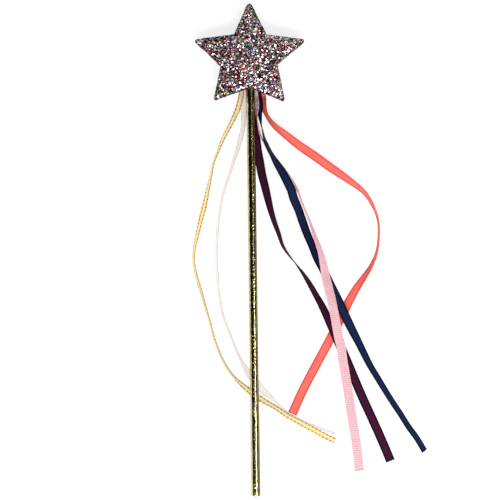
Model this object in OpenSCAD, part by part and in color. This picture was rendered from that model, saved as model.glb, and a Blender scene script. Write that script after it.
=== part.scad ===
// Toy magic wand: a glitter star on a foil-wrapped stick, with six ribbons glued behind the stick.
// The wand lies on a table as it would be laid down: +Y runs along the stick to the star and +Z is up.
// It rests on the star's two lower points and on the hand end, so the stick slopes a little.

/* [Whole wand] */
// Overall length, from the star's top point to the hand end
wand_len = 354; // [300:1:420]

/* [Stick] */
// Diameter of the wooden stick
stick_d = 5.8; // [5:0.1:8]
// Thickness of the gold foil
foil_t = 0.1; // [0.05:0.01:0.2]
// Thickness of the second layer of foil at the hand end, wound twice
grip_t = 0.2; // [0.16:0.01:0.3]
// Length of the second layer of foil at the hand end
grip_len = 59; // [30:1:90]
// Rounding of the stick at the hand end
end_round = 0.8; // [0.3:0.1:1.5]
// Length of the stick inside the star, above the notch
stick_in = 28; // [20:1:34]

/* [Star] */
// Width of the star across its side points, before they are rounded
star_w = 81; // [72:1:96]
// Rounding of the side and lower points
star_tip_r = 1.2; // [0.8:0.1:3]
// Rounding of the top point
top_tip_r = 2; // [0.8:0.1:3]
// Rise of the padded front above the star's edge
star_crown = 2; // [1.4:0.1:3]
// Thickness of the glitter fabric
fabric_t = 0.8; // [0.5:0.1:1.5]
// Room behind the stick for the ribbon tails
tail_room = 1.5; // [1.2:0.1:2.5]

/* [Ribbons] */
// Width of the coral ribbon
coral_w = 6.5; // [5:0.1:7]
// Width of the navy ribbon
navy_w = 6.5; // [5:0.1:7]
// Width of the pink ribbon
pink_w = 6.5; // [5:0.1:7]
// Width of the plum ribbon
plum_w = 6.5; // [5:0.1:7]
// Width of the sheer cream ribbon
cream_w = 5; // [3:0.1:5.4]
// Width of the sheer ribbon with gold edges
gold_w = 4; // [3:0.1:5]
// Thickness of the woven ribbons
woven_t = 0.25; // [0.2:0.01:0.3]
// Thickness of the sheer ribbons
sheer_t = 0.2; // [0.15:0.01:0.3]
// Length of each ribbon that is glued behind the stick, above the notch
tail_len = 12; // [8:1:18]

/* [Fits] */
// Gap left by the glue between the star's layers
glue_gap = 0.1; // [0.05:0.01:0.2]
// Gap round the foil-wrapped stick where it runs through the foam
stick_fit = 0.1; // [0.05:0.01:0.2]

/* [Hidden] */
$fn = 96;
eps = 0.01;

// Radii of the stick and of its two layers of foil
stick_r = stick_d / 2;
sleeve_r = stick_r + foil_t;
grip_r = sleeve_r + grip_t;

// Corners of the star from its middle, a point and an inner corner in turn, from the top point round by the left.
// It is cut by hand, a little wider than tall, with no two points alike. The corners are drawn for a width of 81.
star_corners = star_w / 81 * [
    [0, 41.5], [-11, 17], [-40.5, 13.5], [-21, -5.5], [-26.5, -30],
    [0, -21], [24.5, -31.5], [19.5, -4.5], [40.7, 12.5], [12, 16.5]
];
corners = len(star_corners);
tip_reach = star_corners[0][1] - top_tip_r * (corner_shift(0)[1] - 1);

// The star's middle, its lower notch and the stick's ends, along the wand
hand_end = -wand_len / 2;
star_y = wand_len / 2 - tip_reach;
notch_y = star_y + star_corners[5][1];
below_star = star_y - star_w / 2;
stick_top = notch_y + stick_in;

// Half thickness of the star at its edge, and the inner face of its fabric
star_half = sleeve_r + tail_room + fabric_t;
core_half = star_half - fabric_t;

// Sphere that the padded front is part of
dome_r = (pow(tip_reach, 2) + pow(star_crown, 2)) / (2 * star_crown);
dome_z = star_half + star_crown - dome_r;

// Slope at which the wand lies, on the lower points and on the rim of the hand end
low_tip = [
    star_y + min([for (i = [4, 6]) star_corners[i][1] - star_tip_r * (corner_shift(i)[1] + 1)]),
    -star_half
];
low_rim = [hand_end + grip_t + end_round, -grip_r];
slope = atan2(low_rim[1] - low_tip[1], low_tip[0] - low_rim[0]);
rest_z = star_half * cos(slope) - low_tip[0] * sin(slope);

// The tails lie in three layers behind the stick, and fan out to both sides
layers = 3;
layer_step = tail_room / layers;
pink_x = 2;
navy_x = 4.8;
coral_x = 7.7;
plum_x = -0.2;
cream_x = -4.7;
gold_x = -6.5;
pocket_side = 1;
pocket_x0 = min(gold_x - gold_w / 2, cream_x - cream_w / 2) - pocket_side;
pocket_x1 = coral_x + coral_w / 2 + pocket_side;
tail_y = notch_y + tail_len;
glue_pad_len = 5;

// Ribbon routes, from the star to the cut end. A point is [side, drop below the notch, height of the lower edge
// above the table, roll]. Roll 0 lies flat, 90 stands on edge, and past 90 the strip has turned over.
coral_route = [
    [8, 7, 0.8, 4], [9, 12.5, 0.5, 42], [11, 19, 0.2, 66], [14, 24, 0.1, 62], [18, 28.5, 0.1, 54],
    [23.5, 33, 0.1, 42], [34, 41.5, 0.1, 26], [46, 50, 0.1, 16], [57.5, 58.5, 0.1, 24], [70, 67.5, 0.1, 45],
    [80.5, 76, 0.1, 64], [86.5, 85, 0.1, 74], [90.5, 96, 0.1, 81], [91, 107, 0.1, 82], [89.5, 119, 0.1, 78],
    [85.5, 129, 0.1, 68], [80, 137.5, 0.1, 54], [74.5, 145.5, 0.1, 38], [69.5, 154, 0.1, 22], [65.5, 162, 0.1, 8],
    [60.5, 171.5, 0.1, 4], [54, 184, 0.1, 3], [44.5, 201, 0.1, 4], [35, 218.5, 0.1, 8], [27, 235.5, 0.1, 8]
];
navy_route = [
    [5, 7, 1.1, 4], [6, 12, 1.2, 28], [6.5, 19, 1.2, 60], [7, 23.5, 1.2, 74], [7.5, 28, 1.2, 88],
    [8.5, 32, 1.2, 98], [9.5, 36.5, 1.2, 106], [11, 40.5, 1.2, 113], [14, 47, 1.8, 116], [18, 54.5, 2.6, 136],
    [22.5, 62, 4.6, 156], [26, 69, 6.6, 166], [28.5, 74.5, 6.8, 168], [30, 80, 5.2, 166], [33.5, 88.5, 2.8, 158],
    [36.5, 97.5, 1.2, 158], [39.5, 106, 0.4, 152], [43, 114.5, 0.1, 150], [46.5, 123.5, 0.1, 152],
    [51, 132, 0.1, 156], [55, 141, 0.2, 164], [59, 149.5, 0.8, 170], [63, 158, 1.6, 172], [67, 167, 1.6, 172],
    [71, 175.5, 1, 160], [75.5, 184.5, 0.3, 146], [79.5, 193, 0.1, 142], [84, 202, 0.1, 136],
    [89, 210.5, 0.1, 134], [94, 219, 0.1, 132], [99.5, 228, 0.1, 131], [105, 236.5, 0.1, 130],
    [110.5, 245.5, 0.1, 130], [116.5, 254, 0.1, 130], [122, 263.5, 0.1, 132]
];
pink_route = [
    [2.5, 7, 1.4, 5], [3.5, 12, 1.5, 36], [4, 19, 1.6, 72], [4.5, 23.5, 1.6, 84], [5, 27.5, 1.5, 90],
    [6, 32, 1.4, 95], [7.5, 36.5, 1, 99], [9.5, 40, 0.5, 102], [13.5, 47, 0.1, 114], [19, 55, 0.1, 132],
    [24, 62, 0.1, 138], [29, 69, 0.1, 128], [31.5, 72.5, 0.1, 116], [33.5, 75.5, 0.1, 104], [36.5, 84.5, 0.1, 101],
    [40, 93, 0.1, 102], [43, 101.5, 0.1, 110], [46, 110.5, 0.1, 119], [49, 119, 0.2, 128],
    [51, 128, 0.5, 144], [52.5, 136.5, 1, 158], [54.5, 145, 2, 160], [56.5, 154, 3, 163], [58, 162.5, 3, 166],
    [59.5, 171, 2.7, 170], [61, 180, 2.4, 174], [63, 188.5, 2.2, 176], [64, 197, 1.6, 178],
    [65.5, 206, 1, 180], [68, 223, 0.3, 180], [70.5, 240.5, 0.1, 180], [73, 258, 0.1, 180], [75, 277, 0.1, 180]
];
plum_route = [
    [0, 9, 0.5, 2], [1, 19, 0.3, 4], [2.5, 27.5, 0.2, 5], [3.5, 36.5, 0.1, 6], [4.5, 45, 0.1, 8], [6, 53.5, 0.1, 14],
    [7.5, 62.5, 0.1, 22], [9.5, 71, 0.1, 28], [11.5, 80, 0.1, 38], [13.5, 88.5, 0.1, 50], [16, 97, 0.1, 58],
    [19, 105.5, 0.1, 64], [22, 114.5, 0.1, 73], [27.5, 123, 0.1, 84], [34.5, 132, 0.1, 106], [40, 140.5, 0.1, 122],
    [45, 149.5, 0.1, 131], [49.5, 158, 0.5, 141], [53.5, 166.5, 1, 154], [57.5, 175.5, 1.2, 168],
    [61, 184, 1.1, 175], [65, 193, 0.6, 178], [68.5, 201.5, 0.2, 180], [77.5, 223.5, 0.1, 180],
    [85, 240.5, 0.1, 180], [92.5, 258, 0.1, 180], [97.5, 270.5, 0.1, 180]
];
cream_route = [
    [-4.5, 9, 1.4, -14], [-5, 17, 1, -38], [-5.5, 27, 0.5, -54], [-7.5, 36, 0.2, -50], [-10, 45, 0.1, -58],
    [-13, 53.5, 0.1, -65], [-16, 62, 0.1, -70], [-19, 70.5, 0.1, -73], [-21.5, 79, 0.1, -73], [-23, 88, 0.1, -72],
    [-24.5, 96.5, 0.1, -72], [-25.5, 109.5, 0.1, -72], [-26, 122.5, 0.1, -72], [-25.5, 135.5, 0.1, -72],
    [-25, 146, 0.1, -73], [-23.5, 155.5, 0.1, -73], [-21.5, 165.5, 0.1, -73], [-18, 175, 0.1, -73],
    [-14, 185.5, 0.1, -74], [-9.5, 196, 0.1, -68], [-5.5, 203.5, 0.1, -36], [-2, 208.5, 0.1, -2],
    [2.5, 214, 0.1, -2], [7, 219, 0.1, -16], [11.5, 223, 0.1, -56], [15.5, 227, 0.2, -74], [20, 231, 0.4, -79],
    [25, 236, 0.7, -79], [33.5, 240, 0.7, -80], [43.5, 244.5, 0.4, -80], [54.5, 249, 0.2, -77], [58, 250, 0.2, -78]
];
gold_route = [
    [-7, 7, 1.3, -6], [-9, 14.5, 0.9, -14], [-11, 19, 0.6, -30], [-15, 27, 0.2, -44], [-20, 36, 0.1, -52],
    [-23.5, 44.5, 0.1, -64], [-27, 53, 0.1, -70], [-29, 62, 0.1, -66], [-31, 70.5, 0.1, -55], [-33, 79, 0.1, -42],
    [-35, 87.5, 0.1, -32], [-37.5, 96.5, 0.1, -40], [-39.5, 105, 0.1, -50], [-41.5, 113.5, 0.1, -60],
    [-42.5, 122, 0.1, -68], [-41.5, 131, 0.1, -66], [-39.5, 139.5, 0.1, -62], [-37, 148, 0.1, -63],
    [-33.5, 161, 0.1, -69], [-31, 170, 0.1, -70], [-29, 178.5, 0.1, -70], [-26, 187.5, 0.1, -70],
    [-22.5, 196, 0.1, -69], [-17.5, 204.5, 0.1, -68], [-13.5, 209.5, 0.1, -62], [-9.5, 213.5, 0.1, -44],
    [-5.5, 217, 0.1, -18], [-2.5, 219.5, 0.1, -2], [2.5, 223, 0.1, -2], [6, 225.5, 0.1, -18], [10.5, 228, 0.1, -36],
    [15.5, 231, 0.1, -40], [22, 235.5, 0.1, -32], [29.5, 240, 0.1, -14], [45.5, 249, 0.1, -6],
    [57.5, 255.5, 0.1, -8]
];

// Each span of a route is swept in this many steps, and each half of a rounded point is drawn in this many
span_steps = 2;
tip_steps = 4;

// Height of the foil's underside above the table, at a place along the wand
function under_stick(y) = rest_z + y * sin(slope) - sleeve_r * cos(slope);

// Three points of a glued tail: side, place along the wand, height of the lower edge, roll
function tail(x, layer, t) = [
    for (y = [tail_y, notch_y + tail_len / 2, notch_y - 3])
        [x, y, under_stick(y) - layer_step * (layer + 0.6) - t / 2, 0]
];

// A whole ribbon, with the drops turned into places along the wand
function ribbon_points(x, layer, t, route) =
    concat(tail(x, layer, t), [for (p = route) [p[0], notch_y - p[1], p[2], p[3]]]);

// Smooth curve through four neighbouring points, between the middle two
function smooth(a, b, c, d, u) =
    0.5 * (2 * b + (c - a) * u + (2 * a - 5 * b + 4 * c - d) * u * u + (3 * b - a - 3 * c + d) * u * u * u);

function smooth_route(p) = let (n = len(p) - 1) [
    for (i = [0 : n - 1], k = [0 : span_steps - 1])
        smooth(p[max(i - 1, 0)], p[i], p[i + 1], p[min(i + 2, n)], k / span_steps),
    p[n]
];

// The four corners of a strip across its route, from its sideways, upward and rolled directions
function strip_ring(p, dir, w, t) =
    let (
        side = [-dir[1], dir[0], 0] / norm(dir),
        across = side * cos(p[3]) + [0, 0, sin(p[3])],
        face = [0, 0, cos(p[3])] - side * sin(p[3]),
        middle = [p[0], p[1], p[2] + t / 2 + w / 2 * abs(sin(p[3]))]
    )
    [
        middle - across * w / 2 - face * t / 2, middle + across * w / 2 - face * t / 2,
        middle + across * w / 2 + face * t / 2, middle - across * w / 2 + face * t / 2
    ];

// Outward direction of the star's edge after a corner, and the shift of a corner when its two edges move out by 1
function edge_out(i) =
    let (step = star_corners[(i + 1) % corners] - star_corners[i % corners])
    [step[1], -step[0]] / norm(step);
function corner_shift(i) =
    let (a = edge_out(i + corners - 1), b = edge_out(i))
    (a + b) / (1 + a * b);

// Round end of a point, from one edge to the next
function tip_arc(i, middle, r) =
    let (a = edge_out(i + corners - 1), turn = acos(a * edge_out(i)), from = atan2(a[1], a[0]))
    [for (k = [0 : 2 * tip_steps]) let (b = from + turn * k / (2 * tip_steps)) middle + r * [cos(b), sin(b)]];

// One flat strip swept along its points. Both of its broad faces are split along the same diagonals, so that they
// stay apart where it twists.
module strip(points, w, t) {
    route = smooth_route(points);
    n = len(route) - 1;
    ring_points = [
        for (i = [0 : n])
            let (step = route[min(i + 1, n)] - route[max(i - 1, 0)])
            each strip_ring(route[i], [step[0], step[1]], w, t)
    ];
    walls = [
        for (i = [0 : n - 1], k = [0 : 3])
            let (a = 4 * i + k, b = 4 * i + (k + 1) % 4)
            each k == 2 ? [[a, b, a + 4], [b, b + 4, a + 4]] : [[a, b, b + 4], [a, b + 4, a + 4]]
    ];
    ends = [[0, 3, 2], [0, 2, 1], [4 * n, 4 * n + 1, 4 * n + 2], [4 * n, 4 * n + 2, 4 * n + 3]];
    polyhedron(ring_points, concat(walls, ends), convexity = 10);
}

// Star outline with rounded points, moved outwards by grow along every edge
module star_outline(grow = 0) {
    polygon([
        for (i = [0 : corners - 1])
            let (
                corner = star_corners[i] + grow * corner_shift(i),
                tip_r = max(grow + (i == 0 ? top_tip_r : star_tip_r), 0.1)
            )
            each i % 2 == 0 ? tip_arc(i, corner - tip_r * corner_shift(i), tip_r) : [corner]
    ]);
}

// Lays the wand on the table, from the frame in which the stick runs along Y through the star's middle
module laid() {
    translate([0, 0, rest_z])
        rotate([slope, 0, 0])
            children();
}

// Star-shaped slab between two heights
module star_slab(z0, z1, grow = 0) {
    translate([0, star_y, z0])
        linear_extrude(z1 - z0)
            star_outline(grow);
}

// Ball that cuts a slab to the padded front, sunk below it by a depth
module dome(depth) {
    translate([0, star_y, dome_z])
        rotate([90, 0, 0])
            sphere(r = dome_r - depth, $fn = 256);
}

// Rod along the stick between two places
module rod(r, y0, y1) {
    translate([0, y0, 0])
        rotate([-90, 0, 0])
            cylinder(r = r, h = y1 - y0);
}

// Half outline of a rod that stands on a rounded end
module end_outline(r, z0, z1, round_r) {
    translate([0, z0 + round_r])
        square([r, z1 - z0 - round_r]);
    translate([0, z0])
        square([r - round_r, round_r]);
    translate([r - round_r, z0 + round_r])
        intersection() {
            circle(r = round_r);
            translate([0, -round_r])
                square(round_r);
        }
}

// Turns a half outline round the stick, measured from the hand end
module turned() {
    translate([0, hand_end, 0])
        rotate([-90, 0, 0])
            rotate_extrude()
                children();
}

// Room for the ribbon tails and their glue, open at the notch
module tail_pocket() {
    y1 = tail_y + glue_pad_len + glue_gap;
    translate([pocket_x0, below_star, -star_half])
        cube([pocket_x1 - pocket_x0, y1 - below_star, star_half - sleeve_r]);
}

// Round way for the foil-wrapped stick, with its closed end inside the star
module stick_way() {
    rod(sleeve_r + stick_fit, below_star, stick_top + stick_fit);
}

module wooden_stick() {
    color([0.80, 0.66, 0.46])
        laid()
            turned()
                end_outline(stick_r, grip_t, stick_top - hand_end, end_round);
}

module foil_sleeve() {
    color([0.80, 0.66, 0.22])
        laid()
            difference() {
                rod(sleeve_r, hand_end + grip_t + end_round, stick_top);
                rod(stick_r, hand_end, stick_top + eps);
            }
}

// The second layer is a cup of even thickness, folded over the stick's rounded end
module foil_grip() {
    color([0.78, 0.64, 0.20])
        laid()
            turned()
                difference() {
                    end_outline(grip_r, 0, grip_len, end_round + grip_t);
                    end_outline(sleeve_r, grip_t, grip_len + eps, end_round);
                }
}

module star_front_panel() {
    color([0.60, 0.55, 0.57])
        laid()
            difference() {
                intersection() {
                    star_slab(0, star_half + star_crown + 1);
                    dome(0);
                }
                dome(fabric_t);
            }
}

module star_back_panel() {
    color([0.60, 0.55, 0.57])
        laid()
            star_slab(-star_half, -core_half);
}

module star_edge_band() {
    color([0.38, 0.32, 0.35])
        laid()
            difference() {
                intersection() {
                    star_slab(-core_half, star_half + star_crown);
                    dome(fabric_t + glue_gap);
                }
                star_slab(-star_half, star_half + star_crown + 1, -fabric_t);
                tail_pocket();
                rod(sleeve_r + stick_fit, below_star, star_y);
            }
}

module star_foam_front() {
    color([0.90, 0.88, 0.84])
        laid()
            difference() {
                intersection() {
                    star_slab(0, star_half + star_crown, -fabric_t - glue_gap);
                    dome(fabric_t + glue_gap);
                }
                stick_way();
            }
}

module star_foam_back() {
    color([0.90, 0.88, 0.84])
        laid()
            difference() {
                star_slab(-core_half, 0, -fabric_t - glue_gap);
                stick_way();
                tail_pocket();
            }
}

module star_glue_pad() {
    color([0.93, 0.90, 0.80])
        laid()
            translate([pocket_x0 + glue_gap, tail_y + glue_gap, -core_half])
                cube([pocket_x1 - pocket_x0 - 2 * glue_gap, glue_pad_len - glue_gap, tail_room - glue_gap]);
}

module coral_ribbon() {
    color([0.98, 0.49, 0.44])
        strip(ribbon_points(coral_x, 2, woven_t, coral_route), coral_w, woven_t);
}

module navy_ribbon() {
    color([0.14, 0.18, 0.30])
        strip(ribbon_points(navy_x, 1, woven_t, navy_route), navy_w, woven_t);
}

module pink_ribbon() {
    color([0.96, 0.80, 0.83])
        strip(ribbon_points(pink_x, 0, woven_t, pink_route), pink_w, woven_t);
}

module plum_ribbon() {
    color([0.25, 0.11, 0.20])
        strip(ribbon_points(plum_x, 2, woven_t, plum_route), plum_w, woven_t);
}

module cream_organza_ribbon() {
    color([0.92, 0.87, 0.84])
        strip(ribbon_points(cream_x, 0, sheer_t, cream_route), cream_w, sheer_t);
}

module gold_organza_ribbon() {
    color([0.90, 0.80, 0.48])
        strip(ribbon_points(gold_x, 1, sheer_t, gold_route), gold_w, sheer_t);
}

wooden_stick();
foil_sleeve();
foil_grip();
star_front_panel();
star_back_panel();
star_edge_band();
star_foam_front();
star_foam_back();
star_glue_pad();
coral_ribbon();
navy_ribbon();
pink_ribbon();
plum_ribbon();
cream_organza_ribbon();
gold_organza_ribbon();
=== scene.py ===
# %% [markdown]
# # A toy magic wand
# A padded star under chunky glitter sits on a wooden stick wound in gold foil, and six narrow ribbons are glued
# behind the stick. The imported model is loaded first as a fixed frame. It says where every piece is, so that each
# piece made here goes straight to its place.

# %% Load the imported wand
import math

import bmesh
import bpy
import numpy as np
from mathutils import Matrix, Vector, noise


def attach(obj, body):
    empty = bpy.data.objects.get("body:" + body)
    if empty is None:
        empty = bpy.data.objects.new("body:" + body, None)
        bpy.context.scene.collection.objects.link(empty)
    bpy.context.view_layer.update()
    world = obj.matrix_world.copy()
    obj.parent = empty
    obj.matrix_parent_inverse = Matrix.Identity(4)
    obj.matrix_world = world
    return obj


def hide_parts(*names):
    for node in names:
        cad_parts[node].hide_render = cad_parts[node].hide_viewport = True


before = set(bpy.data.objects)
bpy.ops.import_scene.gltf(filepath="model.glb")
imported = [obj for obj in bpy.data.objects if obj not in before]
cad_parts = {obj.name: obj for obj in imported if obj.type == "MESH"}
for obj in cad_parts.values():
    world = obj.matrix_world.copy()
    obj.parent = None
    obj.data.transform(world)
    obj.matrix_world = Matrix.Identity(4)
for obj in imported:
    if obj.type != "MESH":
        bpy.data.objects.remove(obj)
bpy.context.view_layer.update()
MM = 0.001
scene = bpy.context.scene
scene.view_settings.view_transform = "Standard"

# %% [markdown]
# ## The camera
# The wand was photographed from straight above, lying flat on white. A long lens from well above the table keeps the
# picture as flat as the photograph. The picture is 500 pixels wide and a pixel is 0.722 mm on the table, which gives
# the lens. The wand lies a little askew in the picture, so the camera is turned by that small angle.

# %% Set the camera over the table
CAMERA_HEIGHT = 1.5
PIXEL = 0.721925 * MM
PICTURE_WIDTH = 500 * PIXEL
PICTURE_MIDDLE = (-0.001856, 0.000386)
SENSOR = 36.0
WAND_SKEW = math.atan(0.0135)

camera_data = bpy.data.cameras.new("table_camera")
camera_data.sensor_width = SENSOR
camera_data.lens = SENSOR * CAMERA_HEIGHT / PICTURE_WIDTH
camera = bpy.data.objects.new("table_camera", camera_data)
camera.location = (*PICTURE_MIDDLE, CAMERA_HEIGHT)
camera.rotation_euler = (0.0, 0.0, -WAND_SKEW)
scene.collection.objects.link(camera)
scene.camera = camera
print("lens in mm:", round(camera_data.lens, 1))

# %% [markdown]
# ## One way to make a mesh piece
# Most pieces below are grids of points that follow a rule: a strip along a path, a skin round a stick, a cloth over a
# star. This helper turns such points into a closed mesh at the origin, with its faces turned outwards, and can store
# a cloth map and any values that the piece's finish needs.

# %% Mesh helper
def make_piece(name, points, faces, cloth_map=None, values=None):
    """A mesh object from points in millimetres, with its faces turned outwards."""
    mesh = bpy.data.meshes.new(name)
    mesh.from_pydata((np.asarray(points) * MM).tolist(), [], faces)
    for key, data in (values or {}).items():
        layer = mesh.attributes.new(key, "FLOAT", "POINT")
        layer.data.foreach_set("value", np.asarray(data, dtype=np.float32))
    if cloth_map is not None:
        corners = np.empty(len(mesh.loops), dtype=np.int32)
        mesh.loops.foreach_get("vertex_index", corners)
        layer = mesh.uv_layers.new(name="cloth_map")
        layer.data.foreach_set("uv", np.asarray(cloth_map, dtype=np.float32)[corners].ravel())
    shell = bmesh.new()
    shell.from_mesh(mesh)
    bmesh.ops.recalc_face_normals(shell, faces=shell.faces)
    shell.to_mesh(mesh)
    shell.free()
    mesh.shade_smooth()
    piece = bpy.data.objects.new(name, mesh)
    scene.collection.objects.link(piece)
    return piece


def join_rings(first, second):
    """Quads between closed rings of point numbers."""
    quads = np.stack([first, np.roll(first, -1, axis=-1), np.roll(second, -1, axis=-1), second], axis=-1)
    return quads.reshape(-1, 4).tolist()


def ring_faces(rings, around, closed=False):
    """Quads from each ring of points to the next, and from the last to the first if closed."""
    ring = np.arange(rings * around).reshape(rings, around)
    after = np.roll(ring, -1, axis=0)
    return join_rings(ring, after) if closed else join_rings(ring[:-1], after[:-1])


def fan_faces(around):
    """Triangles from point 0 to the closed ring of points after it."""
    here = np.arange(around) + 1
    return np.stack([np.zeros_like(here), here, np.roll(here, -1)], axis=-1).tolist()


# %% [markdown]
# ## The ribbons' routes
# Each ribbon is a flat strip, glued in three layers behind the stick at the star's lower notch. From there it twists
# onto its edge, turns over and lies down again. A row is a point of its route in millimetres: to the side, down from
# the notch, height of the lower edge above the table, and roll in degrees. These are the model's own routes, so the
# cloth lies where the solid strips lie. A curve object with a bevel could follow them too, but its twist is hard to
# steer, so the strip is swept by hand with its roll given at every point.

# %% Routes of the woven ribbons
CORAL_ROUTE = [
    (8, 7, 0.8, 4), (9, 12.5, 0.5, 42), (11, 19, 0.2, 66), (14, 24, 0.1, 62), (18, 28.5, 0.1, 54),
    (23.5, 33, 0.1, 42), (34, 41.5, 0.1, 26), (46, 50, 0.1, 16), (57.5, 58.5, 0.1, 24), (70, 67.5, 0.1, 45),
    (80.5, 76, 0.1, 64), (86.5, 85, 0.1, 74), (90.5, 96, 0.1, 81), (91, 107, 0.1, 82), (89.5, 119, 0.1, 78),
    (85.5, 129, 0.1, 68), (80, 137.5, 0.1, 54), (74.5, 145.5, 0.1, 38), (69.5, 154, 0.1, 22), (65.5, 162, 0.1, 8),
    (60.5, 171.5, 0.1, 4), (54, 184, 0.1, 3), (44.5, 201, 0.1, 4), (35, 218.5, 0.1, 8), (27, 235.5, 0.1, 8),
]
NAVY_ROUTE = [
    (5, 7, 1.1, 4), (6, 12, 1.2, 28), (6.5, 19, 1.2, 60), (7, 23.5, 1.2, 74), (7.5, 28, 1.2, 88),
    (8.5, 32, 1.2, 98), (9.5, 36.5, 1.2, 106), (11, 40.5, 1.2, 113), (14, 47, 1.8, 116), (18, 54.5, 2.6, 136),
    (22.5, 62, 4.6, 156), (26, 69, 6.6, 166), (28.5, 74.5, 6.8, 168), (30, 80, 5.2, 166), (33.5, 88.5, 2.8, 158),
    (36.5, 97.5, 1.2, 158), (39.5, 106, 0.4, 152), (43, 114.5, 0.1, 150), (46.5, 123.5, 0.1, 152),
    (51, 132, 0.1, 156), (55, 141, 0.2, 164), (59, 149.5, 0.8, 170), (63, 158, 1.6, 172), (67, 167, 1.6, 172),
    (71, 175.5, 1, 160), (75.5, 184.5, 0.3, 146), (79.5, 193, 0.1, 142), (84, 202, 0.1, 136),
    (89, 210.5, 0.1, 134), (94, 219, 0.1, 132), (99.5, 228, 0.1, 131), (105, 236.5, 0.1, 130),
    (110.5, 245.5, 0.1, 130), (116.5, 254, 0.1, 130), (122, 263.5, 0.1, 132),
]
PINK_ROUTE = [
    (2.5, 7, 1.4, 5), (3.5, 12, 1.5, 36), (4, 19, 1.6, 72), (4.5, 23.5, 1.6, 84), (5, 27.5, 1.5, 90),
    (6, 32, 1.4, 95), (7.5, 36.5, 1, 99), (9.5, 40, 0.5, 102), (13.5, 47, 0.1, 114), (19, 55, 0.1, 132),
    (24, 62, 0.1, 138), (29, 69, 0.1, 128), (31.5, 72.5, 0.1, 116), (33.5, 75.5, 0.1, 104), (36.5, 84.5, 0.1, 101),
    (40, 93, 0.1, 102), (43, 101.5, 0.1, 110), (46, 110.5, 0.1, 119), (49, 119, 0.2, 128),
    (51, 128, 0.5, 144), (52.5, 136.5, 1, 158), (54.5, 145, 2, 160), (56.5, 154, 3, 163), (58, 162.5, 3, 166),
    (59.5, 171, 2.7, 170), (61, 180, 2.4, 174), (63, 188.5, 2.2, 176), (64, 197, 1.6, 178),
    (65.5, 206, 1, 180), (68, 223, 0.3, 180), (70.5, 240.5, 0.1, 180), (73, 258, 0.1, 180), (75, 277, 0.1, 180),
]
PLUM_ROUTE = [
    (0, 9, 0.5, 2), (1, 19, 0.3, 4), (2.5, 27.5, 0.2, 5), (3.5, 36.5, 0.1, 6), (4.5, 45, 0.1, 8), (6, 53.5, 0.1, 14),
    (7.5, 62.5, 0.1, 22), (9.5, 71, 0.1, 28), (11.5, 80, 0.1, 38), (13.5, 88.5, 0.1, 50), (16, 97, 0.1, 58),
    (19, 105.5, 0.1, 64), (22, 114.5, 0.1, 73), (27.5, 123, 0.1, 84), (34.5, 132, 0.1, 106), (40, 140.5, 0.1, 122),
    (45, 149.5, 0.1, 131), (49.5, 158, 0.5, 141), (53.5, 166.5, 1, 154), (57.5, 175.5, 1.2, 168),
    (61, 184, 1.1, 175), (65, 193, 0.6, 178), (68.5, 201.5, 0.2, 180), (77.5, 223.5, 0.1, 180),
    (85, 240.5, 0.1, 180), (92.5, 258, 0.1, 180), (97.5, 270.5, 0.1, 180),
]
print("woven routes:", [len(r) for r in (CORAL_ROUTE, NAVY_ROUTE, PINK_ROUTE, PLUM_ROUTE)])

# %% Routes of the sheer ribbons
CREAM_ROUTE = [
    (-4.5, 9, 1.4, -14), (-5, 17, 1, -38), (-5.5, 27, 0.5, -54), (-7.5, 36, 0.2, -50), (-10, 45, 0.1, -58),
    (-13, 53.5, 0.1, -65), (-16, 62, 0.1, -70), (-19, 70.5, 0.1, -73), (-21.5, 79, 0.1, -73), (-23, 88, 0.1, -72),
    (-24.5, 96.5, 0.1, -72), (-25.5, 109.5, 0.1, -72), (-26, 122.5, 0.1, -72), (-25.5, 135.5, 0.1, -72),
    (-25, 146, 0.1, -73), (-23.5, 155.5, 0.1, -73), (-21.5, 165.5, 0.1, -73), (-18, 175, 0.1, -73),
    (-14, 185.5, 0.1, -74), (-9.5, 196, 0.1, -68), (-5.5, 203.5, 0.1, -36), (-2, 208.5, 0.1, -2),
    (2.5, 214, 0.1, -2), (7, 219, 0.1, -16), (11.5, 223, 0.1, -56), (15.5, 227, 0.2, -74), (20, 231, 0.4, -79),
    (25, 236, 0.7, -79), (33.5, 240, 0.7, -80), (43.5, 244.5, 0.4, -80), (54.5, 249, 0.2, -77), (58, 250, 0.2, -78),
]
GOLD_ROUTE = [
    (-7, 7, 1.3, -6), (-9, 14.5, 0.9, -14), (-11, 19, 0.6, -30), (-15, 27, 0.2, -44), (-20, 36, 0.1, -52),
    (-23.5, 44.5, 0.1, -64), (-27, 53, 0.1, -70), (-29, 62, 0.1, -66), (-31, 70.5, 0.1, -55), (-33, 79, 0.1, -42),
    (-35, 87.5, 0.1, -32), (-37.5, 96.5, 0.1, -40), (-39.5, 105, 0.1, -50), (-41.5, 113.5, 0.1, -60),
    (-42.5, 122, 0.1, -68), (-41.5, 131, 0.1, -66), (-39.5, 139.5, 0.1, -62), (-37, 148, 0.1, -63),
    (-33.5, 161, 0.1, -69), (-31, 170, 0.1, -70), (-29, 178.5, 0.1, -70), (-26, 187.5, 0.1, -70),
    (-22.5, 196, 0.1, -69), (-17.5, 204.5, 0.1, -68), (-13.5, 209.5, 0.1, -62), (-9.5, 213.5, 0.1, -44),
    (-5.5, 217, 0.1, -18), (-2.5, 219.5, 0.1, -2), (2.5, 223, 0.1, -2), (6, 225.5, 0.1, -18), (10.5, 228, 0.1, -36),
    (15.5, 231, 0.1, -40), (22, 235.5, 0.1, -32), (29.5, 240, 0.1, -14), (45.5, 249, 0.1, -6), (57.5, 255.5, 0.1, -8),
]
print("sheer routes:", [len(r) for r in (CREAM_ROUTE, GOLD_ROUTE)])

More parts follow.
